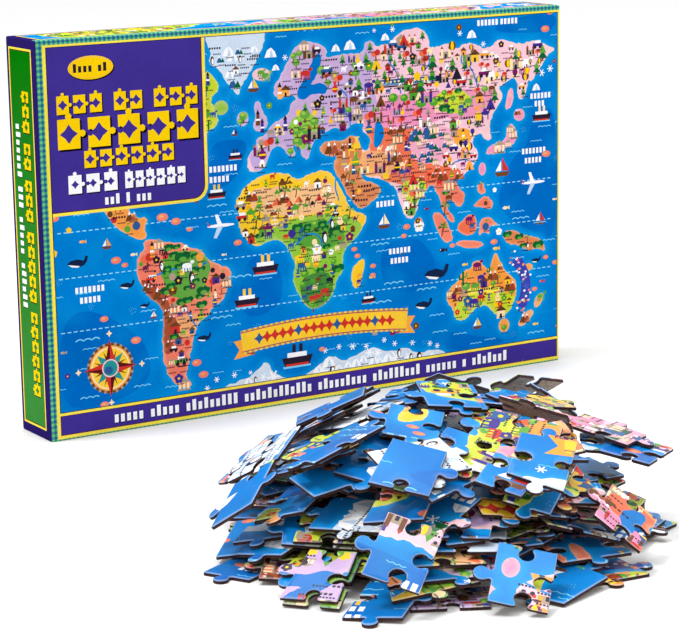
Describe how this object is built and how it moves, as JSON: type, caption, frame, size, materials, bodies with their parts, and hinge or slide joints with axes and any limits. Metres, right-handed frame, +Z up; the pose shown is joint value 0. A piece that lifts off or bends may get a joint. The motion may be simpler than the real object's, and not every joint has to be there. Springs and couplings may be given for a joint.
{
  "type": "boxed jigsaw puzzle",
  "caption": "Flat set-up box with a telescoping lid standing on its long edge behind a heap of loose interlocking jigsaw pieces printed with a world map",
  "frame": {"origin": "middle of the long lid wall that the box stands on, at table level", "axes": "+X along the box to its right-hand end as seen from the front, +Y from the picture panel to the back of the box, +Z up from the table"},
  "size_m": [0.3742, 0.4066, 0.209],
  "materials": {
    "greyboard": "matt grey chipboard",
    "kraft_paper": "matt brown paper",
    "printed_wrap": "glossy laminated print",
    "plain_wrap": "satin coated paper",
    "puzzle_board": "grey board with a glossy laminated print on one face"
  },
  "bodies": {
    "lid_and_heap": {"lid_board": "greyboard", "lid_corner_stays": "kraft_paper", "lid_wrap": "printed_wrap", "under_pieces_01": "puzzle_board", "under_pieces_02": "puzzle_board", "under_pieces_03": "puzzle_board", "under_pieces_04": "puzzle_board", "under_pieces_05": "puzzle_board", "under_pieces_06": "puzzle_board", "under_pieces_07": "puzzle_board", "under_pieces_08": "puzzle_board", "under_pieces_09": "puzzle_board", "under_pieces_10": "puzzle_board", "under_pieces_11": "puzzle_board", "under_pieces_12": "puzzle_board", "under_pieces_13": "puzzle_board", "under_pieces_14": "puzzle_board", "under_pieces_15": "puzzle_board", "under_pieces_16": "puzzle_board", "under_pieces_17": "puzzle_board", "under_pieces_18": "puzzle_board", "under_pieces_19": "puzzle_board", "under_pieces_20": "puzzle_board", "under_pieces_21": "puzzle_board", "under_pieces_22": "puzzle_board", "under_pieces_23": "puzzle_board", "under_pieces_24": "puzzle_board"},
    "tray": {"tray_board": "greyboard", "tray_corner_stays": "kraft_paper", "tray_wrap": "plain_wrap"},
    "loose_01": {"free_piece_01": "puzzle_board"},
    "loose_02": {"free_piece_02": "puzzle_board"},
    "loose_03": {"free_piece_03": "puzzle_board"},
    "loose_04": {"free_piece_04": "puzzle_board"},
    "loose_05": {"free_piece_05": "puzzle_board"},
    "loose_06": {"free_piece_06": "puzzle_board"},
    "loose_07": {"free_piece_07": "puzzle_board"},
    "loose_08": {"free_piece_08": "puzzle_board"},
    "loose_09": {"free_piece_09": "puzzle_board"},
    "loose_10": {"free_piece_10": "puzzle_board"},
    "loose_11": {"free_piece_11": "puzzle_board"},
    "loose_12": {"free_piece_12": "puzzle_board"},
    "loose_13": {"free_piece_13": "puzzle_board"},
    "loose_14": {"free_piece_14": "puzzle_board"},
    "loose_15": {"free_piece_15": "puzzle_board"},
    "loose_16": {"free_piece_16": "puzzle_board"},
    "loose_17": {"free_piece_17": "puzzle_board"},
    "loose_18": {"free_piece_18": "puzzle_board"},
    "loose_19": {"free_piece_19": "puzzle_board"}
  },
  "joints": [
    {"name": "tray_slide", "type": "slide", "parent": "lid_and_heap", "child": "tray", "axis": [0, 1, 0], "range_m": [0, 0.06]},
    {"name": "lift_01", "type": "slide", "parent": "lid_and_heap", "child": "loose_01", "axis": [0, 0, 1], "range_m": [0, 0.08]},
    {"name": "lift_02", "type": "slide", "parent": "lid_and_heap", "child": "loose_02", "axis": [0, 0, 1], "range_m": [0, 0.08]},
    {"name": "lift_03", "type": "slide", "parent": "lid_and_heap", "child": "loose_03", "axis": [0, 0, 1], "range_m": [0, 0.08]},
    {"name": "lift_04", "type": "slide", "parent": "lid_and_heap", "child": "loose_04", "axis": [0, 0, 1], "range_m": [0, 0.08]},
    {"name": "lift_05", "type": "slide", "parent": "lid_and_heap", "child": "loose_05", "axis": [0, 0, 1], "range_m": [0, 0.08]},
    {"name": "lift_06", "type": "slide", "parent": "lid_and_heap", "child": "loose_06", "axis": [0, 0, 1], "range_m": [0, 0.08]},
    {"name": "lift_07", "type": "slide", "parent": "lid_and_heap", "child": "loose_07", "axis": [0, 0, 1], "range_m": [0, 0.08]},
    {"name": "lift_08", "type": "slide", "parent": "lid_and_heap", "child": "loose_08", "axis": [0, 0, 1], "range_m": [0, 0.08]},
    {"name": "lift_09", "type": "slide", "parent": "lid_and_heap", "child": "loose_09", "axis": [0, 0, 1], "range_m": [0, 0.08]},
    {"name": "lift_10", "type": "slide", "parent": "lid_and_heap", "child": "loose_10", "axis": [0, 0, 1], "range_m": [0, 0.08]},
    {"name": "lift_11", "type": "slide", "parent": "lid_and_heap", "child": "loose_11", "axis": [0, 0, 1], "range_m": [0, 0.08]},
    {"name": "lift_12", "type": "slide", "parent": "lid_and_heap", "child": "loose_12", "axis": [0, 0, 1], "range_m": [0, 0.08]},
    {"name": "lift_13", "type": "slide", "parent": "lid_and_heap", "child": "loose_13", "axis": [0, 0, 1], "range_m": [0, 0.08]},
    {"name": "lift_14", "type": "slide", "parent": "lid_and_heap", "child": "loose_14", "axis": [0, 0, 1], "range_m": [0, 0.08]},
    {"name": "lift_15", "type": "slide", "parent": "lid_and_heap", "child": "loose_15", "axis": [0, 0, 1], "range_m": [0, 0.08]},
    {"name": "lift_16", "type": "slide", "parent": "lid_and_heap", "child": "loose_16", "axis": [0, 0, 1], "range_m": [0, 0.08]},
    {"name": "lift_17", "type": "slide", "parent": "lid_and_heap", "child": "loose_17", "axis": [0, 0, 1], "range_m": [0, 0.08]},
    {"name": "lift_18", "type": "slide", "parent": "lid_and_heap", "child": "loose_18", "axis": [0, 0, 1], "range_m": [0, 0.08]},
    {"name": "lift_19", "type": "slide", "parent": "lid_and_heap", "child": "loose_19", "axis": [0, 0, 1], "range_m": [0, 0.08]}
  ]
}
